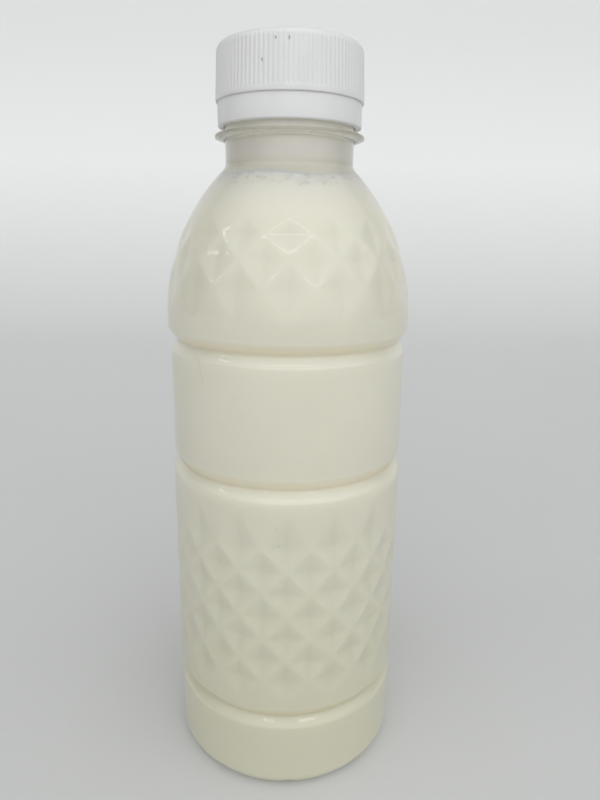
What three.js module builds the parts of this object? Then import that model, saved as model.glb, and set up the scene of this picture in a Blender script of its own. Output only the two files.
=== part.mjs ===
// A round clear plastic bottle full of milk, with a dented shoulder and body and a white ribbed screw cap.
// Millimetres, Z up, the bottle's axis on Z and its standing ring on Z = 0. A column of dents faces -Y.
import * as THREE from "three";

// Dents: diamonds in staggered rows, each one a four-sided pit between sharp ridges
const COLUMNS = 16;
const BODY_DENT_DEPTH = 1;
const BODY_DENT_TOP = 92.3;
const BODY_DENT_FIRST_ROW = 81.2;
const BODY_DENT_ROWS = 7;
const BODY_DENT_PITCH = 7.15;
const BODY_DENT_FOOT = 31;
const SHOULDER_DENT_DEPTH = 0.6;
const SHOULDER_DENT_FOOT = 141.6;
const SHOULDER_DENT_ROWS = [151.4, 158.5, 164.6];
const SHOULDER_DENT_TOP = 169;

// Bottle outside
const FOOT_RADIUS = 35.7;
const FOOT_TOP = 21.5;
const HEEL_ROUNDING = 5;
const STAND_INNER_RADIUS = 26;
const PUSH_UP = 5;
const BODY_RADIUS = 35.6;
const LABEL_RADIUS = 35.05;
const BULGE_RADIUS = 35.75;
const GROOVE_DEPTH = 1.7;
const GROOVE_RISE = 3.6;
const GROOVE_DROP = 3.4;
const GROOVE_SHARPNESS = 1.6;
const LOW_GROOVE = 25.3;
const MID_GROOVE = 97.75;
const HIGH_GROOVE = 134.55;
const DOME_START = 141.6;
const DOME_START_PULL = 12;
const DOME_END_PULL = 18.9;
const DOME_END_ANGLE = 44.4;

// Neck
const NECK_RADIUS = 18.1;
const NECK_FOOT = 182.4;
const NECK_TOP = 211.2;
const MOUTH_ROUNDING = 0.5;
const FLANGE_RADIUS = 21;
const FLANGE_FOOT = 188.9;
const FLANGE_LOW_EDGE = 189.8;
const FLANGE_HIGH_EDGE = 190.8;
const FLANGE_EDGE_ROUNDING = 0.4;

// Walls, milk and the clearance between pieces
const WALL = 0.6;
const NECK_WALL = 2;
const NECK_WALL_END = 176;
const GAP = 0.3;
const MILK_LEVEL = 180.4;

// Cap and the band below it
const CAP_FOOT = 198.85;
const CAP_TOP = 213.5;
const CAP_LIP_TOP = 200.2;
const CAP_FOOT_RADIUS = 20.55;
const CAP_HEAD_RADIUS = 20.3;
const CAP_CORNER = 2.6;
const CAP_WALL = 1.5;
const CAP_PLATE = 1.8;
const RIBS = 100;
const RIB_DEPTH = 0.4;
const BAND_FOOT = 192.7;
const BAND_TOP = 198.45;
const BAND_RADIUS = 20.05;
const BAND_TUCK = 0.35;
const BAND_WALL = 1.55;

// Fineness of the faceted surfaces; the shares run from one end of a curved stretch to the other
const OUTER_SIDES = 48;
const INNER_SIDES = 2 * COLUMNS;
const CAP_SIDES = RIBS / 2;
const HEEL_STEPS = 3;
const COARSE_HEEL_STEPS = 2;
const PUSH_UP_SHARES = [0.35, 0.7, 1];
const GROOVE_SHARES = [0, 0.45, 0.75];
const COARSE_GROOVE_SHARES = [0, 0.55];
const CAP_CORNER_SHARES = [0.4, 0.7, 1];
const DOME_TOP_RINGS = 4;
const HALVINGS = 40;

// One point of a ring: its angle from -Y towards +X, its radius, its height and how deep it is dented
const ringPoint = (angle, radius, z, dent = 0) => ({ angle, radius, z, dent });

const ringAngle = (index, sides) => (index / sides) * 2 * Math.PI;

const ring = (radius, z, sides) =>
  Array.from({ length: sides }, (_, i) => ringPoint(ringAngle(i, sides), radius, z));

const rings = (profile, sides) => profile.map(([radius, z]) => ring(radius, z, sides));

const centre = (z) => [ringPoint(0, 0, z)];

// A ring whose points lie in turn on a ridge and at the bottom of a dent
const dentedRing = (radius, z, depth, dentedParity) =>
  Array.from({ length: INNER_SIDES }, (_, i) => {
    const dent = i % 2 === dentedParity ? depth : 0;
    return ringPoint(ringAngle(i, INNER_SIDES), radius - dent, z, dent);
  });

// A ring of ribs: points in turn on a crest and in a valley
const ribbedRing = (radius, z) =>
  Array.from({ length: 2 * RIBS }, (_, i) =>
    ringPoint(ringAngle(i, 2 * RIBS), radius - (i % 2) * RIB_DEPTH, z));

// Triangles between two rings with any number of points, split along the shallower diagonal
function stitch(low, high) {
  const at = (points, i) => points[i % points.length];
  const triangles = [];
  let i = 0;
  let j = 0;
  const lowSteps = low.length === 1 ? 0 : low.length;
  const highSteps = high.length === 1 ? 0 : high.length;
  while (i < lowSteps || j < highSteps) {
    const lowShare = lowSteps ? (i + 1) / lowSteps : Infinity;
    const highShare = highSteps ? (j + 1) / highSteps : Infinity;
    const rising = at(low, i).dent + at(high, j + 1).dent;
    const falling = at(low, i + 1).dent + at(high, j).dent;
    const level = i < lowSteps && j < highSteps && lowShare === highShare;
    const stepLow = j >= highSteps || (i < lowSteps && (level ? falling < rising : lowShare < highShare));
    if (stepLow) {
      triangles.push([at(low, i), at(low, i + 1), at(high, j)]);
      i += 1;
    } else {
      triangles.push([at(low, i), at(high, j + 1), at(high, j)]);
      j += 1;
    }
  }
  return triangles;
}

// A closed surface through rings in order; a looped one joins its last ring to its first
function skin(ringList, looped = false) {
  const index = new Map();
  const positions = [];
  const vertex = (point) => {
    if (!index.has(point)) {
      index.set(point, positions.length / 3);
      const x = point.radius * Math.sin(point.angle);
      const y = -point.radius * Math.cos(point.angle);
      positions.push(x, y, point.z);
    }
    return index.get(point);
  };
  const pairs = ringList.slice(1).map((next, i) => [ringList[i], next]);
  if (looped) {
    pairs.push([ringList.at(-1), ringList[0]]);
  }
  const faces = pairs.flatMap(([low, high]) => stitch(low, high)).flat().map(vertex);
  const geometry = new THREE.BufferGeometry();
  geometry.setAttribute("position", new THREE.Float32BufferAttribute(positions, 3));
  geometry.setIndex(faces);
  geometry.computeVertexNormals();
  return geometry;
}

// The dome from the bulge up to the foot of the neck
function domeCurve() {
  const angle = THREE.MathUtils.degToRad(DOME_END_ANGLE);
  const endPull = new THREE.Vector2(Math.cos(angle), -Math.sin(angle)).multiplyScalar(DOME_END_PULL);
  const start = new THREE.Vector2(BULGE_RADIUS, DOME_START);
  const end = new THREE.Vector2(NECK_RADIUS, NECK_FOOT);
  const startControl = new THREE.Vector2(BULGE_RADIUS, DOME_START + DOME_START_PULL);
  return new THREE.CubicBezierCurve(start, startControl, end.clone().add(endPull), end);
}

const dome = domeCurve();

function domeRadius(z) {
  let low = 0;
  let high = 1;
  for (let step = 0; step < HALVINGS; step += 1) {
    const middle = (low + high) / 2;
    if (dome.getPoint(middle).y < z) {
      low = middle;
    } else {
      high = middle;
    }
  }
  return dome.getPoint(low).x;
}

// The wall is thin over the body and thickens through the top of the dome to the neck's
const wallAt = (z) =>
  THREE.MathUtils.mapLinear(Math.max(z, NECK_WALL_END), NECK_WALL_END, NECK_FOOT, WALL, NECK_WALL);

// A moulded ring groove, from its lower edge to its upper edge; shares run from the edge to the bottom
function groove(z, lowRadius, highRadius, shares) {
  const bottom = Math.min(lowRadius, highRadius) - GROOVE_DEPTH;
  const side = (radius, reach) =>
    shares.map((share) => [
      radius + (bottom - radius) * share ** GROOVE_SHARPNESS,
      z + reach * (1 - share),
    ]);
  return [...side(lowRadius, -GROOVE_DROP), [bottom, z], ...side(highRadius, GROOVE_RISE).reverse()];
}

// Dented rows from the lower tips to the upper tips; even columns are dented in the first row
function dents(foot, rows, top, depth, radiusAt, inset) {
  const tip = (z) => dentedRing(radiusAt(z) - inset, z, depth, -1);
  const row = (z, i) => dentedRing(radiusAt(z) - inset, z, depth, i % 2);
  return [tip(foot), ...rows.map(row), tip(top)];
}

function bodyDents(inset) {
  const lastRow = BODY_DENT_ROWS - 1;
  const rows = Array.from({ length: BODY_DENT_ROWS }, (_, i) =>
    BODY_DENT_FIRST_ROW - BODY_DENT_PITCH * (lastRow - i));
  return dents(BODY_DENT_FOOT, rows, BODY_DENT_TOP, BODY_DENT_DEPTH, () => BODY_RADIUS, inset);
}

const shoulderDents = (inset) =>
  dents(SHOULDER_DENT_FOOT, SHOULDER_DENT_ROWS, SHOULDER_DENT_TOP, SHOULDER_DENT_DEPTH, domeRadius, inset);

// The domed underside from its middle out to the standing ring, then the rounded heel up to the foot's top
function footProfile(inset, rise, heelSteps) {
  const pushUp = PUSH_UP_SHARES.map((share) =>
    [STAND_INNER_RADIUS * share, PUSH_UP * (1 - share * share) + rise]);
  const heel = Array.from({ length: heelSteps + 1 }, (_, i) => {
    const turn = (i / heelSteps) * (Math.PI / 2);
    const radius = FOOT_RADIUS - HEEL_ROUNDING + (HEEL_ROUNDING - inset) * Math.sin(turn);
    return [radius, HEEL_ROUNDING - (HEEL_ROUNDING - rise) * Math.cos(turn)];
  });
  return [...pushUp, ...heel, [FOOT_RADIUS - inset, FOOT_TOP]];
}

// The side of the bottle from the foot to the start of the dome's smooth top
function sideRings(inset, rise, sides, heelSteps, grooveShares) {
  const insetGroove = (z, lowRadius, highRadius) =>
    rings(groove(z, lowRadius - inset, highRadius - inset, grooveShares), sides);
  return [
    ...rings(footProfile(inset, rise, heelSteps), sides),
    ...insetGroove(LOW_GROOVE, FOOT_RADIUS, BODY_RADIUS),
    ...bodyDents(inset),
    ...insetGroove(MID_GROOVE, BODY_RADIUS, LABEL_RADIUS),
    ...insetGroove(HIGH_GROOVE, LABEL_RADIUS, BULGE_RADIUS),
    ...shoulderDents(inset),
  ];
}

// Support flange under the cap, from the neck's foot up to the mouth
const neckProfile = () => [
  [NECK_RADIUS, NECK_FOOT],
  [NECK_RADIUS, FLANGE_FOOT],
  [FLANGE_RADIUS - FLANGE_EDGE_ROUNDING, FLANGE_LOW_EDGE],
  [FLANGE_RADIUS, FLANGE_LOW_EDGE + FLANGE_EDGE_ROUNDING],
  [FLANGE_RADIUS, FLANGE_HIGH_EDGE - FLANGE_EDGE_ROUNDING],
  [FLANGE_RADIUS - FLANGE_EDGE_ROUNDING, FLANGE_HIGH_EDGE],
  [NECK_RADIUS, FLANGE_HIGH_EDGE],
  [NECK_RADIUS, NECK_TOP - MOUTH_ROUNDING],
  [NECK_RADIUS - MOUTH_ROUNDING, NECK_TOP],
];

// Heights of the smooth rings between the shoulder's dents and the neck
const domeTopHeights = Array.from({ length: DOME_TOP_RINGS }, (_, i) =>
  THREE.MathUtils.lerp(SHOULDER_DENT_TOP, NECK_FOOT, (i + 1) / (DOME_TOP_RINGS + 1)));

function bottleGeometry() {
  const outside = [
    centre(PUSH_UP),
    ...sideRings(0, 0, OUTER_SIDES, HEEL_STEPS, GROOVE_SHARES),
    ...rings(domeTopHeights.map((z) => [domeRadius(z), z]), OUTER_SIDES),
    ...rings(neckProfile(), OUTER_SIDES),
  ];
  const boreRadius = NECK_RADIUS - NECK_WALL;
  const inside = [
    centre(PUSH_UP + WALL),
    ...sideRings(WALL, WALL, INNER_SIDES, COARSE_HEEL_STEPS, COARSE_GROOVE_SHARES),
    ...rings(domeTopHeights.map((z) => [domeRadius(z) - wallAt(z), z]), INNER_SIDES),
    ...rings([[boreRadius, NECK_FOOT], [boreRadius, NECK_TOP]], INNER_SIDES),
  ];
  return skin([...outside, ...inside.reverse()]);
}

// The milk fills the bottle to just under the neck
function milkGeometry() {
  const inset = WALL + GAP;
  const heights = [...domeTopHeights.filter((z) => z < MILK_LEVEL), MILK_LEVEL];
  return skin([
    centre(PUSH_UP + inset),
    ...sideRings(inset, inset, INNER_SIDES, COARSE_HEEL_STEPS, COARSE_GROOVE_SHARES),
    ...rings(heights.map((z) => [domeRadius(z) - wallAt(z) - GAP, z]), INNER_SIDES),
    centre(MILK_LEVEL),
  ]);
}

function capGeometry() {
  const boreRadius = CAP_HEAD_RADIUS - RIB_DEPTH - CAP_WALL;
  const shoulder = CAP_TOP - CAP_CORNER;
  const cornerAt = (share) => {
    const turn = share * (Math.PI / 2);
    const radius = CAP_HEAD_RADIUS - RIB_DEPTH - CAP_CORNER * (1 - Math.cos(turn));
    return [radius, shoulder + CAP_CORNER * Math.sin(turn)];
  };
  return skin([
    centre(CAP_TOP - CAP_PLATE),
    ring(boreRadius, CAP_TOP - CAP_PLATE, INNER_SIDES),
    ring(boreRadius, CAP_FOOT, INNER_SIDES),
    ring(CAP_FOOT_RADIUS, CAP_FOOT, CAP_SIDES),
    ring(CAP_FOOT_RADIUS, CAP_LIP_TOP, CAP_SIDES),
    ribbedRing(CAP_FOOT_RADIUS, CAP_LIP_TOP + RIB_DEPTH),
    ribbedRing(CAP_HEAD_RADIUS, shoulder),
    ...rings(CAP_CORNER_SHARES.map(cornerAt), CAP_SIDES),
    centre(CAP_TOP),
  ]);
}

function bandGeometry() {
  const boreRadius = BAND_RADIUS - BAND_WALL;
  const profile = [
    [boreRadius, BAND_TOP],
    [boreRadius, BAND_FOOT],
    [BAND_RADIUS - BAND_TUCK, BAND_FOOT],
    [BAND_RADIUS, BAND_FOOT + 2 * BAND_TUCK],
    [BAND_RADIUS, BAND_TOP],
  ];
  return skin(rings(profile, OUTER_SIDES), true);
}

function piece(name, geometry, material) {
  const mesh = new THREE.Mesh(geometry, new THREE.MeshStandardMaterial(material));
  mesh.name = name;
  return mesh;
}

const clearPlastic = { color: 0xf2f3ef, roughness: 0.08, metalness: 0, transparent: true, opacity: 0.3 };
const milk = { color: 0xf1ecd9, roughness: 0.45, metalness: 0 };
const whitePlastic = { color: 0xf0f1f0, roughness: 0.4, metalness: 0 };

const milkBottle = new THREE.Group();
milkBottle.add(
  piece("bottle", bottleGeometry(), clearPlastic),
  piece("milk", milkGeometry(), milk),
  piece("cap", capGeometry(), whitePlastic),
  piece("tamper_band", bandGeometry(), whitePlastic),
);

export default milkBottle;
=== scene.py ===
"""Dresses a round clear plastic bottle of milk, with its ribbed cap, and lights it on a pale floor."""

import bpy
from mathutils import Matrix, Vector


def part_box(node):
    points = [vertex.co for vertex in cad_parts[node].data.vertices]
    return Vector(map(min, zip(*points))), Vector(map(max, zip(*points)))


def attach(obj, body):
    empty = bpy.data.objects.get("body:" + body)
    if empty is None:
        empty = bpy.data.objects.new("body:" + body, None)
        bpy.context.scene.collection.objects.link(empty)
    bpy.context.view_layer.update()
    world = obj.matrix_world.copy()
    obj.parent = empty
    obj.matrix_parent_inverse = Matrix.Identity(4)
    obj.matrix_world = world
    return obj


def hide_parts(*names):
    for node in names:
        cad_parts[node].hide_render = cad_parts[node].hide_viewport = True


bl_info = {
    "name": "Milk Bottle",
    "version": (1, 0, 0),
    "blender": (4, 5, 0),
    "location": "View3D > Sidebar > Milk Bottle",
    "description": "Builds a dented clear bottle of milk with a ribbed cap, and the stage it stands on",
    "category": "Object",
}

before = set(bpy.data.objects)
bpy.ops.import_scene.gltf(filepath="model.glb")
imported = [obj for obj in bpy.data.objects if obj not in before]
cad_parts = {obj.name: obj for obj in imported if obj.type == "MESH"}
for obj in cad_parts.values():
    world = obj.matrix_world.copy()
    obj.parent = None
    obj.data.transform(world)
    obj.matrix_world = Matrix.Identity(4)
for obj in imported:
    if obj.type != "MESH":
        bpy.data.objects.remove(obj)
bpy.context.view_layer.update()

import math

import bpy
import numpy as np
from mathutils import Matrix, Vector

MM = 0.001
DEGREE = math.radians(1)
BODY = "root"
IMAGE_HEIGHT = 800

_, BOTTLE_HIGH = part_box("bottle")
_, MILK_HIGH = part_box("milk")
CAP_LOW, CAP_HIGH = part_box("cap")
BAND_LOW, BAND_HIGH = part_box("tamper_band")

# Fineness of the meshes
SHELL_COLUMNS = 256
CAP_COLUMNS_PER_RIB = 12
DENT_STEPS = 8
DENT_STEPS_INSIDE = 2
GROOVE_STEPS = 12
GROOVE_STEPS_INSIDE = 4
CURVE_STEPS = 14
ARC_STEPS = 6
SMALL_ARC_STEPS = 4
SWEEP_STEPS = 24
DOME_LOOKUP_STEPS = 400
SHARP_EDGE = 40 * DEGREE

# Further out than any piece
CAD_REACH = 0.1

# Fineness of the finishes' patterns, in turns for each metre
WALL_WAVES = 330.0
WALL_SCUFFS = 700.0
CREAM_CLOUDS = 45.0
MILK_SHEEN = 300.0
FILM_STREAKS = 110.0
FROTH_SPOTS = 900.0
CAP_MARKS = 160.0
CAP_GRAIN = 2600.0
SPECK_SPOTS = 3000.0
FLOOR_MOTTLE = 7.0

# Where nearly all of a pattern's values lie
PATTERN_LOW, PATTERN_HIGH = 0.3, 0.7

# Depth of the waves in the wall and of the cap's grain
WALL_WAVE_DEPTH = 0.035 * MM
CAP_GRAIN_DEPTH = 0.02 * MM

# Share of its colour that is left in the darker parts of the film and of the floor
FILM_SHADE = 0.93
FLOOR_SHADE = 0.985

# How the milk's edge wanders: share of the wave's height, waves round the bottle and start
EDGE_WAVES = ((0.8, 5, 0.0), (0.35, 2, 1.0))

# Shares of the radius at which the milk's top has rings
MILK_TOP_RINGS = (0.6, 0.3)

# Froth: the draw's seed, the powers that crowd the bubbles upwards and keep most of them small,
# and a bubble's width and thickness
FROTH_SEED = 7
FROTH_CROWDING = 1.7
FROTH_SMALLNESS = 2.5
BUBBLE_WIDTH = 1.4
BUBBLE_FLATNESS = 0.2

# Specks: degrees from the front, height, half width and half height in millimetres
CAP_SPECKS = (
    (-10.3, 210.68, 0.26, 0.42),
    (-0.7, 210.66, 0.22, 0.55),
    (-20.3, 206.01, 0.3, 0.4),
)
BOTTLE_SPECKS = (
    (-3.5, 82.06, 0.26, 0.3),
    (-4.8, 87.43, 0.3, 0.12),
    (59.7, 158.21, 0.3, 0.26),
    (51.9, 144.54, 0.24, 0.2),
    (71.8, 148.81, 0.4, 0.26),
)
CAP_SPECK_FLATNESS = 0.3
BOTTLE_SPECK_FLATNESS = 0.2

# The strand on the panel: degrees from the front and height in millimetres of each bend
STRAND = (
    (-46.5, 132.51), (-43.8, 131.94), (-42.5, 131.05), (-42.0, 129.65),
    (-41.5, 128.34), (-40.6, 127.19), (-40.5, 125.69),
)
STRAND_THICKNESS = 0.055 * MM

# Narrow lamps that draw the thin glints: name, azimuth and elevation in degrees, distance, size and power
STRIPS = (
    ("front_strip", 3.0, 48.5, 1.0, (0.93, 0.042), 0.31),
    ("front_left_strip", -16.5, 24.0, 1.0, (0.19, 0.042), 0.08),
    ("front_right_strip", 22.0, 24.0, 1.0, (0.31, 0.042), 0.135),
    ("left_high_strip", -74.0, 40.0, 0.9, (0.19, 0.047), 0.09),
    ("left_low_strip", -71.0, 20.5, 0.9, (0.13, 0.05), 0.07),
)


# Kinds of setting

def setting(kind, unit_size=1, **always):
    """A kind of setting, made from a label, a description and a default in a unit of that size."""
    def make(label, about, default):
        if isinstance(default, tuple):
            value, sized = tuple(unit_size * part for part in default), {"size": len(default)}
        else:
            value, sized = unit_size * default, {}
        return kind(name=label, description=about, default=value, **sized, **always)
    return make


number = setting(bpy.props.FloatProperty)
amount = setting(bpy.props.FloatProperty, min=0.0)
share = setting(bpy.props.FloatProperty, min=0.0, max=1.0, subtype="FACTOR")
length = setting(bpy.props.FloatProperty, unit="LENGTH", precision=5)
mm = setting(bpy.props.FloatProperty, MM, unit="LENGTH", precision=5)
mms = setting(bpy.props.FloatVectorProperty, MM, unit="LENGTH", precision=5)
degrees = setting(bpy.props.FloatProperty, DEGREE, subtype="ANGLE", unit="ROTATION")
count = setting(bpy.props.IntProperty, min=1)
tint = setting(bpy.props.FloatVectorProperty, min=0.0, max=1.0, subtype="COLOR")
gains = setting(bpy.props.FloatVectorProperty, min=0.0)


# Settings

class MilkBottleBody(bpy.types.PropertyGroup):
    """Sizes of the bottle from its foot to the top of its shoulder"""

    dent_columns: count("Dent columns", "Dents in each row round the bottle", 16)
    body_dent_depth: mm("Body dent depth", "Depth of a body dent at its middle", 1.0)
    shoulder_dent_depth: mm("Shoulder dent depth", "Depth of a shoulder dent at its middle", 0.6)
    dent_rounding: share("Dent rounding", "How soft the ridges and creases of the dents are", 0.02)
    body_dent_rows: count("Body dent rows", "Rows of dents below the middle groove", 7)
    body_first_row: mm("Top body row", "Height of the middle of the top body row", 81.2)
    body_row_pitch: mm("Body row pitch", "Distance between body rows", 7.15)
    body_dent_top: mm("Body dents' top", "Height of the upper tips of the body dents", 92.3)
    body_dent_foot: mm("Body dents' foot", "Height of the lower tips of the body dents", 31.0)
    shoulder_rows: mms("Shoulder rows", "Heights of the shoulder's dents", (151.4, 158.5, 164.6))
    shoulder_dent_top: mm("Shoulder dents' top", "Height of the upper tips on the shoulder", 169.0)
    foot_radius: mm("Foot radius", "Radius of the smooth foot", 35.7)
    foot_top: mm("Foot top", "Height where the foot's side ends", 21.5)
    heel_rounding: mm("Heel rounding", "Radius of the heel's curve", 5.0)
    heel_notches: count("Heel notches", "Small mould notches round the heel", 10)
    heel_notch_lift: mm("Heel notch lift", "How far a notch lifts the ring it stands on", 1.3)
    heel_notch_reach: mm("Heel notch reach", "Height at which a notch has died out", 3.2)
    heel_notch_width: degrees("Heel notch width", "Half the angle that a heel notch takes up", 3.6)
    heel_notch_start: degrees("Heel notch start", "Angle of the first notch from the front", 1.7)
    stand_inner_radius: mm("Standing ring", "Inner radius of the ring it stands on", 26.0)
    push_up: mm("Push-up", "Height of the domed underside", 5.0)
    body_radius: mm("Body radius", "Radius over the ridges of the body dents", 35.6)
    label_radius: mm("Panel radius", "Radius of the smooth panel", 35.05)
    bulge_radius: length("Bulge radius", "Radius at the foot of the shoulder", BOTTLE_HIGH.x)
    groove_depth: mm("Groove depth", "Depth of the ring grooves", 1.7)
    groove_rise: mm("Groove rise", "Height of a groove above its crease", 3.6)
    groove_drop: mm("Groove drop", "Height of a groove below its crease", 3.4)
    groove_sharpness: amount("Groove sharpness", "Power of the groove's curve", 1.6)
    groove_rounding: share("Groove rounding", "How soft the groove's crease is", 0.22)
    grooves: mms("Groove heights", "Heights of the three creases", (25.3, 97.75, 134.55))
    dome_start: mm("Dome start", "Height where the shoulder starts to curve in", 141.6)
    dome_start_pull: mm("Dome start pull", "Length of the curve's lower handle", 12.0)
    dome_end_pull: mm("Dome end pull", "Length of the curve's upper handle", 18.9)
    dome_end_angle: degrees("Dome end angle", "Slope of the shoulder where it meets the neck", 44.4)
    wall: mm("Wall", "Thickness of the blown wall", 0.6)
    plastic: tint("Plastic", "Colour of the clear plastic", (0.985, 0.985, 0.97))


class MilkBottleNeck(bpy.types.PropertyGroup):
    """Sizes of the neck and its support flange"""

    radius: mm("Neck radius", "Outer radius of the neck", 18.1)
    foot: mm("Neck foot", "Height where the shoulder ends", 182.4)
    top: length("Mouth", "Height of the mouth's rim", BOTTLE_HIGH.z)
    mouth_rounding: mm("Mouth rounding", "Radius of the rim's edge", 0.5)
    wall: mm("Neck wall", "Thickness of the neck", 2.0)
    wall_end: mm("Thick wall end", "Height where the wall has thinned to the body's", 176.0)
    flange_radius: mm("Flange radius", "Radius of the support flange", 21.0)
    flange_foot: mm("Flange foot", "Height where the flange leaves the neck", 188.9)
    flange_low_edge: mm("Flange low edge", "Height of the rim's lower edge", 189.8)
    flange_high_edge: mm("Flange high edge", "Height of the rim's upper edge", 190.8)
    flange_rounding: mm("Flange rounding", "Radius of the rim's edges", 0.4)
    fold: mm("Neck fold", "Radius of the fold between shoulder and neck", 0.7)


class MilkBottleMilk(bpy.types.PropertyGroup):
    """Level, froth and colours of the milk"""

    level: length("Milk level", "Height of the milk", MILK_HIGH.z)
    into_wall: share("Reach into wall", "Share of the wall that the milk takes up, so that no air shows", 0.5)
    meniscus: mm("Meniscus", "How far the milk climbs the wall", 0.5)
    meniscus_start: mm("Meniscus start", "How far from the wall the milk's top starts", 0.1)
    meniscus_width: mm("Meniscus width", "Width over which the milk climbs", 2.0)
    level_wave: mm("Level wave", "How far the milk's edge wanders up and down the wall", 0.45)
    film_top: mm("Film top", "Height that the film of milk in the neck reaches", 205.0)
    film_thickness: mm("Film thickness", "Thickness of the film of milk in the neck", 0.05)
    film_depth: mm("Film depth", "How far the film lies inside the wall, so that no air shows", 0.2)
    film: tint("Film", "Colour of the film of milk in the neck", (0.68, 0.655, 0.585))
    # Painted shade at the neck's fold and behind the flange, and painted light above the flange that offsets
    # the band's shadow.
    film_fold_painted_shade: tint("Film at fold", "Colour of the film at the foot of the neck", (0.6, 0.585, 0.495))
    film_flange_painted_shade: tint("Film at flange", "Colour of the film behind the flange", (0.6, 0.57, 0.475))
    film_painted_light: tint("Film under cap", "Colour of the film above the flange", (0.95, 0.92, 0.81))
    bubbles: count("Bubbles", "Bubbles of froth at the top of the milk", 300)
    bubble_depth: mm("Bubble depth", "How far the froth reaches down the wall", 3.2)
    bubble_sizes: mms("Bubble sizes", "Smallest and largest bubble radius", (0.2, 0.52))
    cream: tint("Cream", "Lighter colour of the milk", (0.775, 0.76, 0.652))
    shade: tint("Shade", "Darker colour of the milk", (0.755, 0.736, 0.626))
    # Painted shade: the milk is darkened towards the foot, between the two heights below.
    depths: tint("Depths", "Colour of the milk towards the foot", (0.655, 0.64, 0.51))
    depths_top: length("Depths' top", "Height where the milk starts to darken", 0.6 * MILK_HIGH.z)
    depths_foot: length("Depths' foot", "Height where the milk is at its darkest", 0.2 * MILK_HIGH.z)
    # Painted light: the milk is made lighter and warmer just above each groove's crease, which offsets the
    # crease's shade.
    crease: gains("Crease", "How much lighter the milk is above a groove's crease, in each colour",
                  (1.11, 1.065, 1.0))
    crease_reach: mm("Crease reach", "How far that lighter colour spreads from its middle", 2.6)
    froth_ring: tint("Froth ring", "Colour of the milk just under its top", (0.69, 0.677, 0.622))
    froth_reach: mm("Froth reach", "How far down that colour fades", 9.6)
    froth: tint("Froth", "Colour of the bubbles", (0.65, 0.637, 0.595))
    dried: tint("Dried milk", "Colour of the dried specks on the bottle", (0.5, 0.48, 0.4))
    scatter: mm("Scatter", "How far light spreads in the milk", 6.5)


class MilkBottleCap(bpy.types.PropertyGroup):
    """Sizes of the cap and of the band left under it"""

    foot: length("Cap foot", "Height of the cap's lower edge", CAP_LOW.z + 0.15 * MM)
    top: length("Cap top", "Height of the cap", CAP_HIGH.z)
    lip_top: mm("Lip top", "Height where the plain lip ends", 200.2)
    foot_radius: length("Lip radius", "Radius of the plain lip", CAP_HIGH.x)
    head_radius: mm("Head radius", "Radius over the ribs at the top", 20.1)
    corner: mm("Corner", "Radius of the cap's upper edge", 2.1)
    wall: mm("Cap wall", "Thickness of the skirt", 1.5)
    plate: mm("Cap plate", "Thickness of the top", 1.8)
    dish: mm("Top dish", "Depth of the shallow dish in the top", 0.25)
    dish_rim: mm("Dish rim", "Width of the flat rim round the dish", 0.6)
    dish_run: mm("Dish run", "Width of the slope into the dish", 2.4)
    ribs: count("Ribs", "Grip ribs round the cap", 100)
    rib_depth: mm("Rib depth", "Depth of the valleys between ribs", 0.155)
    rib_width: amount("Rib width", "Power that narrows the valleys", 2.4)
    rib_start: mm("Rib start", "Height over which the valleys start, above the lip", 0.62)
    rib_end: mm("Rib end", "How far below the top the valleys have died out", 0.525)
    band_foot: length("Band foot", "Height of the band's lower edge", BAND_LOW.z)
    band_top: length("Band top", "Height of the band's upper edge", CAP_LOW.z + 0.1 * MM)
    band_radius: length("Band radius", "Radius of the band", BAND_HIGH.x)
    slit_height: mm("Slit height", "Height of the slit between the lip and the band", 0.3)
    slit_depth: mm("Slit depth", "Depth of the slit between the lip and the band", 0.06)
    band_wall: mm("Band wall", "Thickness of the band", 1.55)
    lip_rounding: mm("Lip rounding", "Radius of the lip's lower edge", 0.35)
    edge: mm("Edge rounding", "Radius of the band's lower outer edge", 0.5)
    band_rounding: mm("Band rounding", "Radius of the band's upper edge", 0.1)
    white: tint("White", "Lighter colour of the cap", (0.8, 0.8, 0.796))
    grey: tint("Grey", "Darker colour of the cap", (0.772, 0.774, 0.768))
    dirt: tint("Dirt", "Colour of the specks", (0.33, 0.34, 0.34))


class MilkBottleStage(bpy.types.PropertyGroup):
    """Camera, lights, floor and backdrop"""

    camera_distance: mm("Camera distance", "Distance of the camera from the bottle's axis", 189.5)
    camera_height: mm("Camera height", "Height of the camera", 165.9)
    camera_tilt: degrees("Camera tilt", "How far the camera looks down", 15.296)
    camera_turn: degrees("Camera turn", "How far the camera looks to the right", 1.17)
    camera_roll: degrees("Camera roll", "How far the camera leans", 0.758)
    focal_pixels: amount("Focal length", "Focal length in pixels of the photograph", 625.5)
    floor_tint: tint("Floor", "Colour of the floor", (0.66, 0.665, 0.66))
    backdrop_tint: tint("Backdrop", "Colour of the backdrop", (0.875, 0.88, 0.875))
    edge_share: share("Edge share", "Share of the floor's colour that is left at the stage's far edges", 0.2)
    plain_half_width: length("Plain half width", "How far to the side the floor keeps its colour", 1.2)
    plain_height: length("Plain height", "How far up the backdrop keeps its colour", 0.7)
    floor_half_width: length("Floor half width", "Half the width of the floor", 5.0)
    floor_front: length("Floor front", "Where the floor starts, towards the viewer", -2.0)
    floor_back: length("Floor back", "Where the floor starts to curve up", 0.75)
    sweep: length("Sweep", "Radius of the curve up to the backdrop", 0.6)
    backdrop_top: length("Backdrop top", "Height of the backdrop", 2.2)
    sky_tint: tint("Sky", "Colour of the sky's light", (0.98, 0.99, 0.995))
    sky_dim: amount("Dim sky", "Strength of the sky away from its bright side", 0.12)
    sky_bright: amount("Bright sky", "Strength of the sky at its brightest", 1.275)
    sky_edge: number("Sky edge", "Cosine of the angle where the bright side ends", 0.0)
    sky_azimuth: degrees("Sky azimuth", "Side of the brightest sky, from the front to the right", 12.5)
    sky_elevation: degrees("Sky elevation", "Height of the brightest sky", 43.0)


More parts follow.
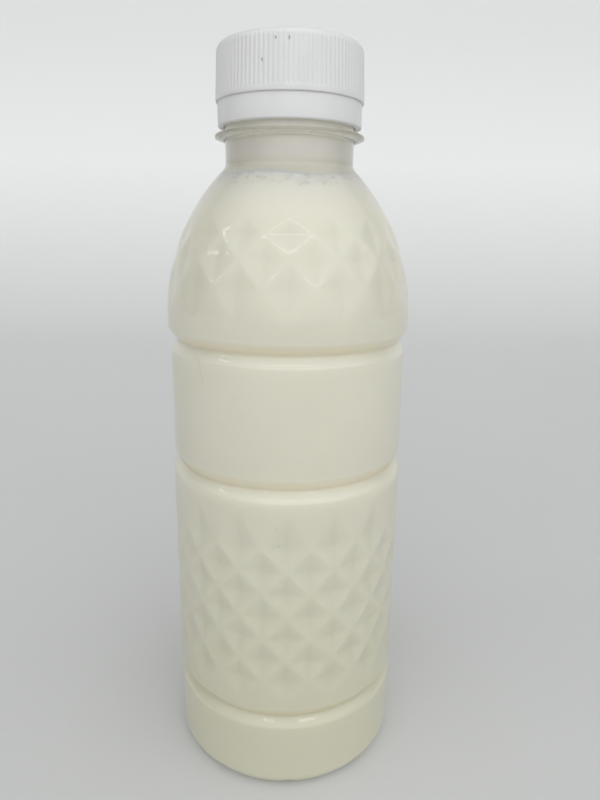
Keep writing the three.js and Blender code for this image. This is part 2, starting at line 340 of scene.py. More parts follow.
class MilkBottleSettings(bpy.types.PropertyGroup):
    """All the settings of the milk bottle"""

    body: bpy.props.PointerProperty(type=MilkBottleBody, name="Bottle")
    neck: bpy.props.PointerProperty(type=MilkBottleNeck, name="Neck")
    milk: bpy.props.PointerProperty(type=MilkBottleMilk, name="Milk")
    cap: bpy.props.PointerProperty(type=MilkBottleCap, name="Cap")
    stage: bpy.props.PointerProperty(type=MilkBottleStage, name="Stage")


# Surfaces made of rows round the axis; a row is a radius and a height for each column

def angles_round(steps):
    """Evenly spaced angles, all the way round."""
    return np.arange(steps) * (2 * math.pi / steps)


def even_rows(profile, columns=SHELL_COLUMNS):
    """Rows that are the same all the way round, from (radius, height) pairs."""
    pairs = np.asarray(profile, float)
    return np.repeat(pairs[:, :1], columns, axis=1), np.repeat(pairs[:, 1:], columns, axis=1)


def stacked(*stretches):
    """One surface from several stretches of rows, in order."""
    return tuple(np.vstack(part) for part in zip(*stretches))


def upside_down(rows):
    """The same rows in the other order."""
    return tuple(part[::-1] for part in rows)


def surface_faces(index, radius, looped):
    """Triangles between neighbouring rows, split along the diagonal that stands out more."""
    low = index if looped else index[:-1]
    high = np.roll(index, -1, axis=0) if looped else index[1:]
    low_next = np.roll(low, -1, axis=1)
    high_next = np.roll(high, -1, axis=1)
    out = radius.ravel()
    falls = out[low_next] + out[high] > out[low] + out[high_next]
    first = np.stack((low, low_next, np.where(falls, high, high_next)), axis=-1)
    second = np.stack((np.where(falls, low_next, low), high_next, high), axis=-1)
    return [first.reshape(-1, 3), second.reshape(-1, 3)]


def surface_mesh(name, rows, start=None, end=None, looped=False):
    """A mesh of rows round the axis; start and end are the heights of its two poles."""
    radius, height = rows
    row_count, columns = radius.shape
    angle = angles_round(columns)
    around = (radius * np.sin(angle), -radius * np.cos(angle), height)
    points = np.stack(around, axis=-1).reshape(-1, 3)
    index = np.arange(row_count * columns).reshape(row_count, columns)
    faces = surface_faces(index, radius, looped)
    for pole, rim in ((start, index[0][::-1]), (end, index[-1])):
        if pole is not None:
            tip = np.full(columns, len(points))
            points = np.vstack((points, (0.0, 0.0, pole)))
            faces.append(np.stack((rim, np.roll(rim, -1), tip), axis=-1))
    return finished_mesh(name, points, np.vstack(faces))


def finished_mesh(name, points, faces):
    """A smooth mesh whose sharper edges stay sharp."""
    mesh = bpy.data.meshes.new(name)
    mesh.from_pydata(points.tolist(), [], faces.tolist())
    mesh.shade_smooth()
    mesh.set_sharp_from_angle(angle=SHARP_EDGE)
    return mesh


def arc(centre, radius, start, end, steps=ARC_STEPS):
    """(radius, height) pairs along a circle; angles are in degrees from straight out, upwards."""
    angles = np.radians(np.linspace(start, end, steps + 1))
    return [(centre[0] + radius * math.cos(a), centre[1] + radius * math.sin(a)) for a in angles]


def add_object(name, data):
    """Puts a new object in the scene."""
    item = bpy.data.objects.new(name, data)
    bpy.context.scene.collection.objects.link(item)
    return item


def add_piece(name, mesh, material, node=None):
    """Puts a finished piece in the scene, on the bottle's body."""
    mesh.materials.append(material)
    piece = add_object(name, mesh)
    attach(piece, BODY)
    if node:
        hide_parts(node)


# The bottle's form

def groove_profile(body, height, low_radius, high_radius, steps):
    """A ring groove from its lower edge, down to a soft crease, and up to its upper edge."""
    bottom = min(low_radius, high_radius) - body.groove_depth
    soft = body.groove_rounding
    away = np.linspace(1.0, 0.0, steps + 1)
    reach = (np.sqrt(away ** 2 + soft ** 2) - soft) / (math.hypot(1.0, soft) - soft)
    depth = (1.0 - reach) ** body.groove_sharpness
    low = zip(low_radius + (bottom - low_radius) * depth, height - body.groove_drop * away)
    high = zip(high_radius + (bottom - high_radius) * depth, height + body.groove_rise * away)
    return [*low, *list(high)[-2::-1]]


def dome_curve(body, neck, steps):
    """The shoulder's curve, from the bulge up to the foot of the neck."""
    start = np.array((body.bulge_radius, body.dome_start))
    low_handle = start + np.array((0.0, body.dome_start_pull))
    end = np.array((neck.radius, neck.foot))
    slope = np.array((math.cos(body.dome_end_angle), -math.sin(body.dome_end_angle)))
    high_handle = end + body.dome_end_pull * slope
    t = np.linspace(0.0, 1.0, steps + 1)[:, None]
    return ((1 - t) ** 3 * start + 3 * t * (1 - t) ** 2 * low_handle
            + 3 * t ** 2 * (1 - t) * high_handle + t ** 3 * end)


def dome_radius(body, neck, height):
    """Radius of the shoulder, and above it of the neck."""
    curve = dome_curve(body, neck, DOME_LOOKUP_STEPS)
    return np.interp(height, curve[:, 1], curve[:, 0])


def rounded_wave(place, rounding):
    """A wave between 0 at even numbers and 1 at odd ones, straight between soft turns."""
    reach = 1.0 - rounding
    return 0.5 - 0.5 * np.arcsin(reach * np.cos(math.pi * place)) / math.asin(reach)


def dent_rows(body, heights, dent_depth, radius_at, steps):
    """Staggered diamond dents; heights are the lower tips, the rows' middles and the upper tips."""
    knots = np.arange(len(heights)) - 1
    row_place = np.linspace(knots[0], knots[-1], (len(heights) - 1) * steps + 1)
    height = np.interp(row_place, knots, heights)[:, None]
    column_place = np.arange(SHELL_COLUMNS) * (2 * body.dent_columns / SHELL_COLUMNS)
    rising = column_place + row_place[:, None]
    falling = column_place - row_place[:, None]
    one, other = (rounded_wave(place, body.dent_rounding) for place in (rising, falling))
    ridge = 0.5 * (one + other + np.sqrt((one - other) ** 2 + body.dent_rounding))
    middle_row = np.round(rising / 2) - np.round(falling / 2)
    dented = (middle_row >= 0) & (middle_row < len(heights) - 2)
    depth = dent_depth * np.where(dented, np.clip(1.0 - ridge, 0.0, 1.0), 0.0)
    return radius_at(height) - depth, np.broadcast_to(height, depth.shape)


def foot_rows(body, inset):
    """The domed underside, the standing ring and the heel, with its small mould notches."""
    out = np.linspace(0.0, 1.0, CURVE_STEPS + 1)[1:]
    push_up = zip(body.stand_inner_radius * out, body.push_up * (1 - out ** 2) + inset)
    heel_middle = (body.foot_radius - body.heel_rounding, body.heel_rounding)
    heel = arc(heel_middle, body.heel_rounding - inset, -90, 0, CURVE_STEPS)
    radius, height = even_rows([*push_up, *heel, (body.foot_radius - inset, body.foot_top)])
    pitch = 2 * math.pi / body.heel_notches
    off = (angles_round(SHELL_COLUMNS) - body.heel_notch_start + pitch / 2) % pitch - pitch / 2
    notch = np.clip(1.0 - np.abs(off) / body.heel_notch_width, 0.0, 1.0)
    near_floor = np.clip(1.0 - (height - inset) / body.heel_notch_reach, 0.0, 1.0)
    return radius, height + body.heel_notch_lift * notch * near_floor


def side_rows(body, neck, inset, dent_steps, groove_steps):
    """The side of the bottle from its underside to the top of the shoulder's dents."""
    body_radius = body.body_radius - inset
    label_radius = body.label_radius - inset
    body_rows = body.body_first_row - body.body_row_pitch * np.arange(body.body_dent_rows)[::-1]

    def groove(height, low_radius, high_radius):
        return even_rows(groove_profile(body, height, low_radius, high_radius, groove_steps))

    return stacked(
        foot_rows(body, inset),
        groove(body.grooves[0], body.foot_radius - inset, body_radius),
        dent_rows(body, (body.body_dent_foot, *body_rows, body.body_dent_top),
                  body.body_dent_depth, lambda z: body_radius + 0 * z, dent_steps),
        groove(body.grooves[1], body_radius, label_radius),
        groove(body.grooves[2], label_radius, body.bulge_radius - inset),
        dent_rows(body, (body.dome_start, *body.shoulder_rows, body.shoulder_dent_top),
                  body.shoulder_dent_depth, lambda z: dome_radius(body, neck, z) - inset, dent_steps),
    )


def wall_at(body, neck, height):
    """The wall thickens through the top of the shoulder to the neck's."""
    return np.interp(height, (neck.wall_end, neck.foot), (body.wall, neck.wall))


def dome_top_profile(body, neck, top, inset_at):
    """The smooth top of the shoulder, set in by a depth that may change with height."""
    heights = np.linspace(body.shoulder_dent_top, top, CURVE_STEPS + 1)[1:]
    return list(zip(dome_radius(body, neck, heights) - inset_at(heights), heights))


def neck_profile(neck):
    """The neck from the shoulder's fold to the mouth, with the support flange."""
    rim = neck.flange_radius - neck.flange_rounding
    mouth = neck.radius - neck.mouth_rounding
    fold = (neck.radius + neck.fold, neck.foot + neck.fold)
    low_edge = (rim, neck.flange_low_edge + neck.flange_rounding)
    high_edge = (rim, neck.flange_high_edge - neck.flange_rounding)
    return [
        *arc(fold, neck.fold, 225, 180),
        (neck.radius, neck.flange_foot - neck.fold),
        (neck.radius, neck.flange_foot),
        *arc(low_edge, neck.flange_rounding, -80, 0),
        *arc(high_edge, neck.flange_rounding, 0, 90),
        (neck.radius, neck.flange_high_edge),
        (neck.radius, neck.flange_high_edge + neck.fold),
        *arc((mouth, neck.top - neck.mouth_rounding), neck.mouth_rounding, 0, 90),
    ]


def shell_mesh(body, neck):
    """The whole wall: outside from the underside to the mouth, then inside back down."""
    bore = neck.radius - neck.wall
    outside = stacked(
        side_rows(body, neck, 0.0, DENT_STEPS, GROOVE_STEPS),
        even_rows(dome_top_profile(body, neck, neck.foot - neck.fold / 2, np.zeros_like)),
        even_rows(neck_profile(neck)),
    )
    inside = stacked(
        side_rows(body, neck, body.wall, DENT_STEPS_INSIDE, GROOVE_STEPS_INSIDE),
        even_rows(dome_top_profile(body, neck, neck.foot, lambda z: wall_at(body, neck, z))),
        even_rows([(bore, neck.foot + neck.fold), (bore, neck.top - neck.mouth_rounding)]),
        even_rows(arc((bore + neck.mouth_rounding, neck.top - neck.mouth_rounding),
                      neck.mouth_rounding, 180, 90)),
    )
    rows = stacked(outside, upside_down(inside))
    return surface_mesh("bottle_shell", rows, start=body.push_up, end=body.push_up + body.wall)


def milk_edge(milk, angle):
    """How far the edge of the milk lies above or below its level."""
    return -milk.level_wave * sum(part * np.sin(waves * angle + start) for part, waves, start in EDGE_WAVES)


def milk_mesh(body, neck, milk):
    """The milk, which reaches into the wall, with a wandering edge and a meniscus round its top."""
    clear = 1.0 - milk.into_wall
    inset = clear * body.wall
    wave = milk_edge(milk, angles_round(SHELL_COLUMNS))
    top = milk.level - milk.meniscus
    climb = np.linspace(0.0, 1.0, CURVE_STEPS + 1)[1:, None]
    height = body.shoulder_dent_top + (top + wave - body.shoulder_dent_top) * climb
    radius = dome_radius(body, neck, height) - clear * wall_at(body, neck, height)
    inward = np.linspace(0.0, 1.0, ARC_STEPS + 1)[:, None]
    meniscus = (radius[-1] - milk.meniscus_start - milk.meniscus_width * inward,
                milk.level + wave - milk.meniscus * (1 - (1 - inward) ** 2))
    middle = np.array(MILK_TOP_RINGS)[:, None]
    rows = stacked(
        side_rows(body, neck, inset, DENT_STEPS, GROOVE_STEPS),
        (radius, height),
        meniscus,
        (radius[-1] * middle, top + wave * middle),
    )
    return surface_mesh("milk_fill", rows, start=body.push_up + inset, end=top)


def film_mesh(body, neck, milk):
    """The thin film of milk that wets the inside of the neck, set into the wall so that no air shows."""
    start = milk.level - 2 * milk.meniscus - 2 * milk.level_wave
    low = np.linspace(start, neck.foot, CURVE_STEPS + 1)
    heights = np.append(low, (neck.foot + neck.fold, milk.film_top))
    wall = dome_radius(body, neck, heights) - wall_at(body, neck, heights)
    outside, inside = (
        even_rows(list(zip(wall + reach, heights)))
        for reach in (milk.film_depth + milk.film_thickness, milk.film_depth))
    return surface_mesh("neck_film", stacked(outside, upside_down(inside)), looped=True)


def bead(sides=8, rings=5):
    """Points and faces of a small round bead of radius 1."""
    fall = np.linspace(0.0, math.pi, rings + 1)[1:-1]
    points = [(math.sin(f) * math.cos(a), math.sin(f) * math.sin(a), math.cos(f))
              for f in fall for a in angles_round(sides)]
    points += [(0.0, 0.0, 1.0), (0.0, 0.0, -1.0)]
    top = len(points) - 2
    faces = []
    for i in range(sides):
        j = (i + 1) % sides
        faces.append((top, i, j))
        for ring in range(rings - 2):
            low, high = (ring + 1) * sides, ring * sides
            faces += [(high + i, low + i, low + j), (high + i, low + j, high + j)]
        last = (rings - 2) * sides
        faces.append((top + 1, last + j, last + i))
    return np.array(points), np.array(faces)


def axes_at(angle):
    """The ways outwards, sideways and upwards at a place on the bottle's side."""
    out = np.array((math.sin(angle), -math.cos(angle), 0.0))
    side = np.array((math.cos(angle), math.sin(angle), 0.0))
    return out, side, np.array((0.0, 0.0, 1.0))


def beads(places, sizes, flatness):
    """Points and faces of many beads, each pressed flat against the surface that its place lies on."""
    shape, faces = bead()
    parts = []
    for (angle, radius, height), (width, tall) in zip(places, sizes):
        out, side, up = axes_at(angle)
        spread = np.array((width * side, tall * up, flatness * width * out))
        parts.append((radius * out + height * up + shape @ spread, faces))
    return parts


def strand(places, thickness, sides=6):
    """Points and faces of one thin strand that runs down along its places."""
    points = []
    for angle, radius, height in places:
        out, side, up = axes_at(angle)
        points += [radius * out + height * up + thickness * (math.cos(t) * side + math.sin(t) * out)
                   for t in angles_round(sides)]
    index = np.arange(len(points)).reshape(-1, sides)
    across = np.roll(index, -1, axis=1)
    first = np.stack((index[:-1], index[1:], across[1:]), axis=-1).reshape(-1, 3)
    second = np.stack((index[:-1], across[1:], across[:-1]), axis=-1).reshape(-1, 3)
    ends = [(row[0], row[i], row[i + 1]) for row in (index[0], index[-1][::-1]) for i in range(1, sides - 1)]
    return np.array(points), np.vstack((first, second, ends))


def joined_mesh(name, parts):
    """One mesh from several lots of points and faces."""
    starts = np.cumsum([0] + [len(points) for points, _ in parts[:-1]])
    faces = [part[1] + start for part, start in zip(parts, starts)]
    return finished_mesh(name, np.vstack([points for points, _ in parts]), np.vstack(faces))


def surface_places(piece_name, marks):
    """Places on the outside of a piece: an angle, a radius and a height, from degrees and millimetres."""
    piece = bpy.data.objects[piece_name]
    places = []
    for bearing, millimetres, *_ in marks:
        angle, height = bearing * DEGREE, millimetres * MM
        out = Vector(axes_at(angle)[0])
        found, point, _, _ = piece.ray_cast(CAD_REACH * out + Vector((0.0, 0.0, height)), -out)
        if not found:
            raise RuntimeError(f"nothing of {piece_name} at {bearing} degrees and {millimetres} mm")
        places.append((angle, point.xy.length, height))
    return places


def speck_parts(piece_name, specks, flatness):
    """Points and faces of the specks on a piece."""
    sizes = [(width * MM, tall * MM) for _, _, width, tall in specks]
    return beads(surface_places(piece_name, specks), sizes, flatness)


# Cap and band

def rib_fade(cap, height):
    """How deep the valleys are: nothing on the lip, full over the ribs, dying out in the rounded edge."""
    start = np.clip((height - cap.lip_top) / cap.rib_start, 0.0, 1.0)
    end = np.clip((cap.top - cap.rib_end - height) / (cap.corner - cap.rib_end), 0.0, 1.0)
    return start ** 2 * (3 - 2 * start) * end


def cap_outside(cap):
    """Radius and height of the cap's outside, without its valleys, from the lip to the top."""
    lip = arc((cap.foot_radius - cap.lip_rounding, cap.foot + cap.lip_rounding), cap.lip_rounding, -90, 0)
    shoulder = cap.top - cap.corner
    side = np.linspace(0.0, 1.0, 2 * CURVE_STEPS + 1)
    side_heights = cap.lip_top + (shoulder - cap.lip_top) * side ** 2
    side_radii = cap.foot_radius + (cap.head_radius - cap.foot_radius) * side ** 2
    corner = arc((cap.head_radius - cap.corner, shoulder), cap.corner, 0, 90, 2 * ARC_STEPS)[1:]
    return [*lip, *zip(side_radii, side_heights), *corner]


def cap_mesh(cap):
    """The cap: its inside, its ribbed outside and the shallow dish in its top."""
    columns = cap.ribs * CAP_COLUMNS_PER_RIB
    bore = cap.head_radius - cap.rib_depth - cap.wall
    outside = even_rows(cap_outside(cap), columns)
    phase = np.arange(columns) * (2 * math.pi / CAP_COLUMNS_PER_RIB)
    valley = (0.5 - 0.5 * np.cos(phase)) ** cap.rib_width
    ribbed = outside[0] - cap.rib_depth * valley * rib_fade(cap, outside[1])
    rim = cap.head_radius - cap.corner
    across = np.linspace(0.0, 1.0, ARC_STEPS + 1)
    dish = [(rim - cap.dish_rim - cap.dish_run * a, cap.top - cap.dish * a * a * (3 - 2 * a)) for a in across]
    inside = [(0.5 * bore, cap.top - cap.plate), (bore, cap.top - cap.plate), (bore, cap.foot)]
    rows = stacked(even_rows(inside, columns), (ribbed, outside[1]), even_rows(dish, columns))
    return surface_mesh("cap_shell", rows, start=cap.top - cap.plate, end=cap.top - cap.dish)


def band_mesh(cap):
    """The band, with a collar at its top that makes the floor of the slit under the lip."""
    bore = cap.band_radius - cap.band_wall
    small = cap.band_rounding
    shelf = cap.band_top - cap.slit_height
    collar = cap.band_radius - cap.slit_depth
    profile = [
        (bore, cap.band_top),
        *arc((bore + small, cap.band_foot + small), small, 180, 270, SMALL_ARC_STEPS),
        *arc((cap.band_radius - cap.edge, cap.band_foot + cap.edge), cap.edge, -90, 0),
        *arc((cap.band_radius - small, shelf - small), small, 0, 90, SMALL_ARC_STEPS),
        (collar, shelf),
        (collar, cap.band_top),
    ]
    return surface_mesh("cap_band", even_rows(profile), looped=True)


# Materials

def feed(node, inputs):
    """Sets a node's inputs, or links those whose value is another node's output."""
    for name, value in inputs.items():
        if isinstance(value, bpy.types.NodeSocket):
            node.id_data.links.new(value, node.inputs[name])
        else:
            node.inputs[name].default_value = value


def new_node(tree, kind, inputs=None, **settings):
    """A new shader node with its settings and inputs."""
    node = tree.nodes.new("ShaderNode" + kind)
    for name, value in settings.items():
        setattr(node, name, value)
    feed(node, inputs or {})
    return node


def new_material(name):
    """A new material, its nodes and its main shader."""
    material = bpy.data.materials.new(name)
    material.use_nodes = True
    return material, material.node_tree, material.node_tree.nodes["Principled BSDF"]


def object_place(tree):
    """Where a point lies in the object's own space."""
    return new_node(tree, "TexCoord").outputs["Object"]


def noise(tree, scale, detail=3.0, stretch=(1.0, 1.0, 1.0)):
    """A noise over the object's own space; scale is in turns for each metre."""
    mapping = new_node(tree, "Mapping", {"Vector": object_place(tree), "Scale": stretch})
    inputs = {"Vector": mapping.outputs["Vector"], "Scale": scale, "Detail": detail}
    return new_node(tree, "TexNoise", inputs).outputs["Fac"]


def between(tree, value, low_colour, high_colour, low=PATTERN_LOW, high=PATTERN_HIGH):
    """A colour that runs from one to the other as the value goes from low to high."""
    ramp = new_node(tree, "ValToRGB", {"Fac": value})
    first, last = ramp.color_ramp.elements
    first.position, last.position = low, high
    first.color, last.color = (*low_colour, 1.0), (*high_colour, 1.0)
    return ramp.outputs["Color"]


def ranged(tree, value, low, high, from_low=PATTERN_LOW, from_high=PATTERN_HIGH):
    """A number that runs from low to high with the value."""
    inputs = {"Value": value, "From Min": from_low, "From Max": from_high, "To Min": low, "To Max": high}
    return new_node(tree, "MapRange", inputs).outputs["Result"]


def place_along(tree, axis):
    """Where a point of the object lies along one of its axes."""
    return new_node(tree, "SeparateXYZ", {"Vector": object_place(tree)}).outputs[axis]


def height_share(tree, low, high):
    """A number that runs from 0 to 1 between two heights of the object."""
    return ranged(tree, place_along(tree, "Z"), 0.0, 1.0, low, high)


def off_from(tree, axis, middle, near, far):
    """A number that runs from 0 to 1 as a point moves from near to far off a middle, along one axis."""
    off = new_node(tree, "Math", {0: place_along(tree, axis), 1: middle}, operation="SUBTRACT")
    away = new_node(tree, "Math", {0: off.outputs["Value"]}, operation="ABSOLUTE")
    return ranged(tree, away.outputs["Value"], 0.0, 1.0, near, far)


def mixed(tree, value, colour, other, blend="MIX"):
    """One colour turning into another, or into their product, as the value goes from 0 to 1."""
    inputs = {"Fac": value, "Color1": colour, "Color2": (*other, 1.0)}
    return new_node(tree, "MixRGB", inputs, blend_type=blend).outputs["Color"]


def bump(tree, height, depth):
    """A slightly uneven surface, with the depth of its relief."""
    inputs = {"Height": height, "Distance": depth, "Strength": 1.0}
    return new_node(tree, "Bump", inputs).outputs["Normal"]


def clear_plastic(body):
    """Clear blown plastic, a little wavy; light on its way to the milk passes straight through."""
    material, tree, shader = new_material("clear_plastic")
    feed(shader, {
        "Base Color": (*body.plastic, 1.0),
        "Transmission Weight": 1.0,
        "IOR": 1.57,
        "Roughness": ranged(tree, noise(tree, WALL_SCUFFS, 4.0), 0.06, 0.11),
        "Normal": bump(tree, noise(tree, WALL_WAVES, 2.0), WALL_WAVE_DEPTH),
    })
    path = new_node(tree, "LightPath").outputs
    either = new_node(
        tree, "Math", {0: path["Is Shadow Ray"], 1: path["Is Diffuse Ray"]}, operation="MAXIMUM")
    clear = new_node(tree, "BsdfTransparent")
    mix = new_node(tree, "MixShader", {
        "Fac": either.outputs["Value"], 1: shader.outputs["BSDF"], 2: clear.outputs["BSDF"]})
    feed(tree.nodes["Material Output"], {"Surface": mix.outputs["Shader"]})
    return material


def creamy_milk(body, milk):
    """Opaque cream-white milk with faint clouds of cream and light spreading in it, with painted shade that
    darkens it towards the foot and painted light above each groove's crease.
    """
    material, tree, shader = new_material("creamy_milk")
    clouds = between(tree, noise(tree, CREAM_CLOUDS, 4.0), milk.shade, milk.cream)
    # Painted shade: the milk darkens towards the foot.
    colour = mixed(tree, height_share(tree, milk.depths_top, milk.depths_foot), clouds, milk.depths)
    # Painted light above each groove's crease, which offsets its shade.
    for groove in body.grooves:
        near = off_from(tree, "Z", groove + milk.crease_reach / 2, milk.crease_reach, 0.0)
        colour = mixed(tree, near, colour, milk.crease, "MULTIPLY")
    frothy = height_share(tree, milk.level - milk.froth_reach, milk.level)
    feed(shader, {
        "Base Color": mixed(tree, frothy, colour, milk.froth_ring),
        "Roughness": ranged(tree, noise(tree, MILK_SHEEN), 0.4, 0.55),
        "Subsurface Weight": 1.0,
        "Subsurface Radius": (1.0, 0.88, 0.75),
        "Subsurface Scale": milk.scatter,
        "Specular IOR Level": 0.1,
    })
    return material


def milk_film(neck, milk):
    """Thin uneven film of milk that whitens the neck, with painted shade at the neck's fold and behind the
    flange, and painted light above the flange that offsets the band's shadow.
    """
    material, tree, shader = new_material("milk_film")
    clouds = noise(tree, FILM_STREAKS, stretch=(1.0, 1.0, 0.6))
    colour = between(tree, clouds, [FILM_SHADE * c for c in milk.film], milk.film)
    # Painted shade at the fold and behind the flange, and painted light above the flange against the band's
    # shadow.
    for low, high, zone in (
            (neck.foot + 3 * neck.fold, neck.foot + neck.fold, milk.film_fold_painted_shade),
            (neck.flange_foot - neck.fold, neck.flange_foot, milk.film_flange_painted_shade),
            (neck.flange_high_edge, neck.flange_high_edge + neck.fold, milk.film_painted_light)):
        colour = mixed(tree, height_share(tree, low, high), colour, zone)
    roughness = ranged(tree, clouds, 0.4, 0.6)
    feed(shader, {"Base Color": colour, "Roughness": roughness, "Specular IOR Level": 0.1})
    return material


def froth(milk):
    """Bubbles at the top of the milk, each a little different."""
    material, tree, shader = new_material("froth")
    colour = between(tree, noise(tree, FROTH_SPOTS), milk.froth, milk.froth_ring)
    feed(shader, {"Base Color": colour, "Roughness": 0.3})
    return material


def white_plastic(cap):
    """Satin white moulded plastic with faint handling marks and fine moulding grain."""
    material, tree, shader = new_material("white_plastic")
    marks = noise(tree, CAP_MARKS, 5.0, stretch=(1.0, 1.0, 0.5))
    feed(shader, {
        "Base Color": between(tree, marks, cap.grey, cap.white, 0.25, 0.55),
        "Roughness": ranged(tree, marks, 0.5, 0.36),
        "Normal": bump(tree, noise(tree, CAP_GRAIN, 2.0), CAP_GRAIN_DEPTH),
        "Subsurface Weight": 0.15,
        "Subsurface Radius": (1.0, 1.0, 1.0),
        "Subsurface Scale": 0.8 * MM,
    })
    return material


def dirt(name, dark, light):
    """Uneven specks, a little lighter here and there."""
    material, tree, shader = new_material(name)
    lighter = [0.5 * (d + w) for d, w in zip(dark, light)]
    feed(shader, {"Base Color": between(tree, noise(tree, SPECK_SPOTS), dark, lighter), "Roughness": 0.8})
    return material


def pale_floor(stage):
    """Matt pale board with a faint mottle, lighter up the backdrop and darker towards its far edges."""
    material, tree, shader = new_material("pale_floor")
    darker, edge = ([part * c for c in stage.floor_tint] for part in (FLOOR_SHADE, stage.edge_share))
    board = between(tree, noise(tree, FLOOR_MOTTLE, 5.0), darker, stage.floor_tint)
    colour = mixed(tree, height_share(tree, 0.0, stage.sweep / 2), board, stage.backdrop_tint)
    for off in (off_from(tree, "X", 0.0, stage.plain_half_width, stage.floor_half_width),
                height_share(tree, stage.plain_height, stage.backdrop_top)):
        colour = mixed(tree, off, colour, edge)
    feed(shader, {"Base Color": colour, "Roughness": 0.8})
    return material


# Stage

def aim(forward, right):
    """A turn whose local axes are right, up and backward."""
    up = right.cross(forward)
    return Matrix((right, up, -forward)).transposed()


def add_camera(stage):
    """The camera, at the photograph's viewing angle."""
    tilt, heading, roll = stage.camera_tilt, stage.camera_turn, stage.camera_roll
    forward = -direction(-heading, tilt)
    across = Vector((math.cos(heading), -math.sin(heading), 0.0))
    right = math.cos(roll) * across + math.sin(roll) * across.cross(forward)
    data = bpy.data.cameras.new("camera")
    data.sensor_fit = "VERTICAL"
    data.lens = data.sensor_height * stage.focal_pixels / IMAGE_HEIGHT
    data.clip_start = 0.01
    camera = add_object("camera", data)
    place = Vector((0.0, -stage.camera_distance, stage.camera_height))
    camera.matrix_world = Matrix.Translation(place) @ aim(forward, right).to_4x4()
    bpy.context.scene.camera = camera


def direction(azimuth, elevation):
    """The way outwards; azimuth is from the viewer's side to the right."""
    level = math.cos(elevation)
    return Vector((math.sin(azimuth) * level, -math.cos(azimuth) * level, math.sin(elevation)))


def add_strip(name, azimuth, elevation, distance, size, power):
    """A narrow lamp that faces the bottle's middle; its angles are in degrees."""
    azimuth, elevation = azimuth * DEGREE, elevation * DEGREE
    back = direction(azimuth, elevation)
    data = bpy.data.lights.new(name, "AREA")
    data.shape = "RECTANGLE"
    data.size, data.size_y = size
    data.energy = power
    lamp = add_object(name, data)
    middle = Vector((0.0, 0.0, CAP_HIGH.z / 2))
    right = Vector((math.cos(azimuth), math.sin(azimuth), 0.0))
    lamp.matrix_world = Matrix.Translation(middle + distance * back) @ aim(-back, right).to_4x4()


def add_floor(stage):
    """A floor that sweeps up into a backdrop."""
    curve = arc((stage.floor_back, stage.sweep), stage.sweep, -90, 0, SWEEP_STEPS)
    profile = [(stage.floor_front, 0.0), *curve, (stage.floor_back + stage.sweep, stage.backdrop_top)]
    points = [(x, y, z) for y, z in profile for x in (-stage.floor_half_width, stage.floor_half_width)]
    faces = [(2 * i, 2 * i + 1, 2 * i + 3, 2 * i + 2) for i in range(len(profile) - 1)]
    mesh = bpy.data.meshes.new("floor")
    mesh.from_pydata(points, [], faces)
    mesh.shade_smooth()
    mesh.materials.append(pale_floor(stage))
    floor = add_object("floor", mesh)


def set_sky(stage):
    """A sky that brightens smoothly towards one side."""
    world = bpy.data.worlds.new("sky")
    world.use_nodes = True
    tree = world.node_tree
    place = new_node(tree, "TexCoord").outputs["Generated"]
    brightest = direction(stage.sky_azimuth, stage.sky_elevation)
    towards = new_node(tree, "VectorMath", {0: place, 1: brightest}, operation="DOT_PRODUCT")
    strength = ranged(tree, towards.outputs["Value"], stage.sky_dim, stage.sky_bright, stage.sky_edge, 1.0)
    strength.node.interpolation_type = "SMOOTHSTEP"
    feed(tree.nodes["Background"], {"Color": (*stage.sky_tint, 1.0), "Strength": strength})
    bpy.context.scene.world = world


# Operators

class MILKBOTTLE_OT_stage(bpy.types.Operator):
    """Set up the camera, the floor, the sky and the narrow lamps"""

    bl_idname = "milk_bottle.stage"
    bl_label = "Set the Stage"

    def execute(self, context):
        stage = context.scene.milk_bottle.stage
        context.scene.view_settings.view_transform = "Standard"
        add_camera(stage)
        add_floor(stage)
        set_sky(stage)
        for strip in STRIPS:
            add_strip(*strip)
        return {"FINISHED"}


class MILKBOTTLE_OT_shell(bpy.types.Operator):
    """Blow the clear bottle with its grooves, dents, neck and flange"""

    bl_idname = "milk_bottle.shell"
    bl_label = "Blow the Bottle"

    def execute(self, context):
        settings = context.scene.milk_bottle
        mesh = shell_mesh(settings.body, settings.neck)
        add_piece("bottle_shell", mesh, clear_plastic(settings.body), "bottle")
        return {"FINISHED"}


class MILKBOTTLE_OT_milk(bpy.types.Operator):
    """Fill the bottle with milk"""

    bl_idname = "milk_bottle.milk"
    bl_label = "Fill with Milk"

    def execute(self, context):
        settings = context.scene.milk_bottle
        mesh = milk_mesh(settings.body, settings.neck, settings.milk)
        add_piece("milk_fill", mesh, creamy_milk(settings.body, settings.milk), "milk")
        return {"FINISHED"}


class MILKBOTTLE_OT_film(bpy.types.Operator):
    """Leave a film of milk in the neck and froth along the top of the milk"""

    bl_idname = "milk_bottle.film"
    bl_label = "Film and Froth"

    def execute(self, context):
        settings = context.scene.milk_bottle
        body, neck, milk = settings.body, settings.neck, settings.milk
        add_piece("neck_film", film_mesh(body, neck, milk), milk_film(neck, milk))
        draw = np.random.default_rng(FROTH_SEED)
        drop = milk.bubble_depth * draw.random(milk.bubbles) ** FROTH_CROWDING
        angle = 2 * math.pi * draw.random(milk.bubbles)
        height = milk.level - milk.meniscus - drop + milk_edge(milk, angle)
        radius = dome_radius(body, neck, height) - (1.0 - milk.into_wall) * wall_at(body, neck, height)
        small, large = milk.bubble_sizes
        size = small + (large - small) * draw.random(milk.bubbles) ** FROTH_SMALLNESS
        bubbles = beads(zip(angle, radius, height), zip(BUBBLE_WIDTH * size, size), BUBBLE_FLATNESS)
        mesh = joined_mesh("froth_bubbles", bubbles)
        add_piece("froth_bubbles", mesh, froth(milk))
        return {"FINISHED"}


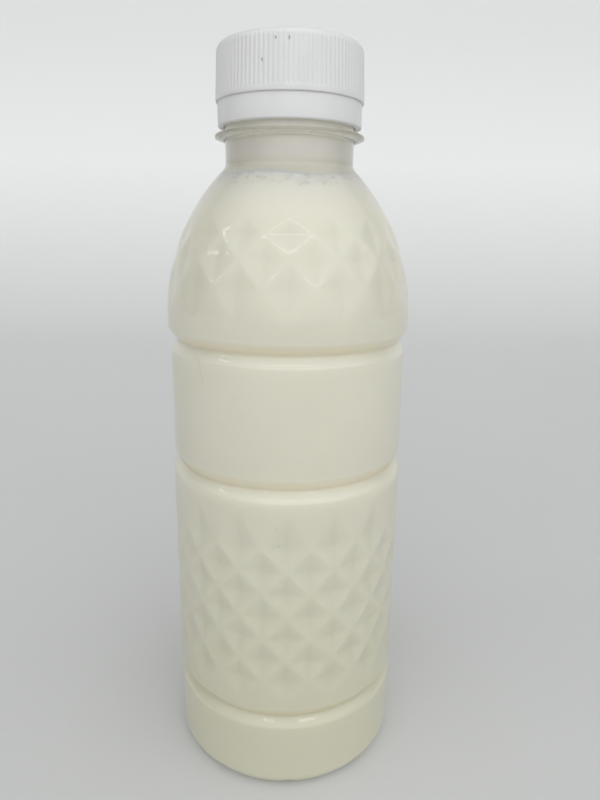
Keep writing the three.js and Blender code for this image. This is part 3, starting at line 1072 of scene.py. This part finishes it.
class MILKBOTTLE_OT_cap(bpy.types.Operator):
    """Mould the ribbed cap and the band under it"""

    bl_idname = "milk_bottle.cap"
    bl_label = "Mould the Cap"

    def execute(self, context):
        cap = context.scene.milk_bottle.cap
        plastic = white_plastic(cap)
        add_piece("cap_shell", cap_mesh(cap), plastic, "cap")
        add_piece("cap_band", band_mesh(cap), plastic, "tamper_band")
        return {"FINISHED"}


class MILKBOTTLE_OT_dirt(bpy.types.Operator):
    """Scatter the few specks on the cap and the bottle, and lay a thin strand on its panel"""

    bl_idname = "milk_bottle.dirt"
    bl_label = "Specks of Dirt"

    def execute(self, context):
        settings = context.scene.milk_bottle
        cap, milk = settings.cap, settings.milk
        context.view_layer.update()
        mesh = joined_mesh("cap_specks", speck_parts("cap_shell", CAP_SPECKS, CAP_SPECK_FLATNESS))
        add_piece("cap_specks", mesh, dirt("dirt", cap.dirt, cap.grey))
        specks = speck_parts("bottle_shell", BOTTLE_SPECKS, BOTTLE_SPECK_FLATNESS)
        thread = strand(surface_places("bottle_shell", STRAND), STRAND_THICKNESS)
        mesh = joined_mesh("bottle_specks", [*specks, thread])
        add_piece("bottle_specks", mesh, dirt("dried_milk", milk.dried, milk.shade))
        return {"FINISHED"}


OPERATORS = (
    MILKBOTTLE_OT_stage,
    MILKBOTTLE_OT_shell,
    MILKBOTTLE_OT_milk,
    MILKBOTTLE_OT_film,
    MILKBOTTLE_OT_cap,
    MILKBOTTLE_OT_dirt,
)


class MILKBOTTLE_PT_panel(bpy.types.Panel):
    """Steps and settings of the milk bottle"""

    bl_idname = "MILKBOTTLE_PT_panel"
    bl_label = "Milk Bottle"
    bl_space_type = "VIEW_3D"
    bl_region_type = "UI"
    bl_category = "Milk Bottle"

    def draw(self, context):
        for operator in OPERATORS:
            self.layout.operator(operator.bl_idname)
        settings = context.scene.milk_bottle
        for group in (settings.body, settings.neck, settings.milk, settings.cap, settings.stage):
            box = self.layout.box()
            for name in group.__annotations__:
                box.prop(group, name)


CLASSES = (
    MilkBottleBody,
    MilkBottleNeck,
    MilkBottleMilk,
    MilkBottleCap,
    MilkBottleStage,
    MilkBottleSettings,
    *OPERATORS,
    MILKBOTTLE_PT_panel,
)


def register():
    for item in CLASSES:
        bpy.utils.register_class(item)
    bpy.types.Scene.milk_bottle = bpy.props.PointerProperty(type=MilkBottleSettings)


def unregister():
    del bpy.types.Scene.milk_bottle
    for item in reversed(CLASSES):
        bpy.utils.unregister_class(item)


def main():
    register()
    for operator in OPERATORS:
        group, action = operator.bl_idname.split(".")
        getattr(getattr(bpy.ops, group), action)()


if __name__ == "__main__":
    main()
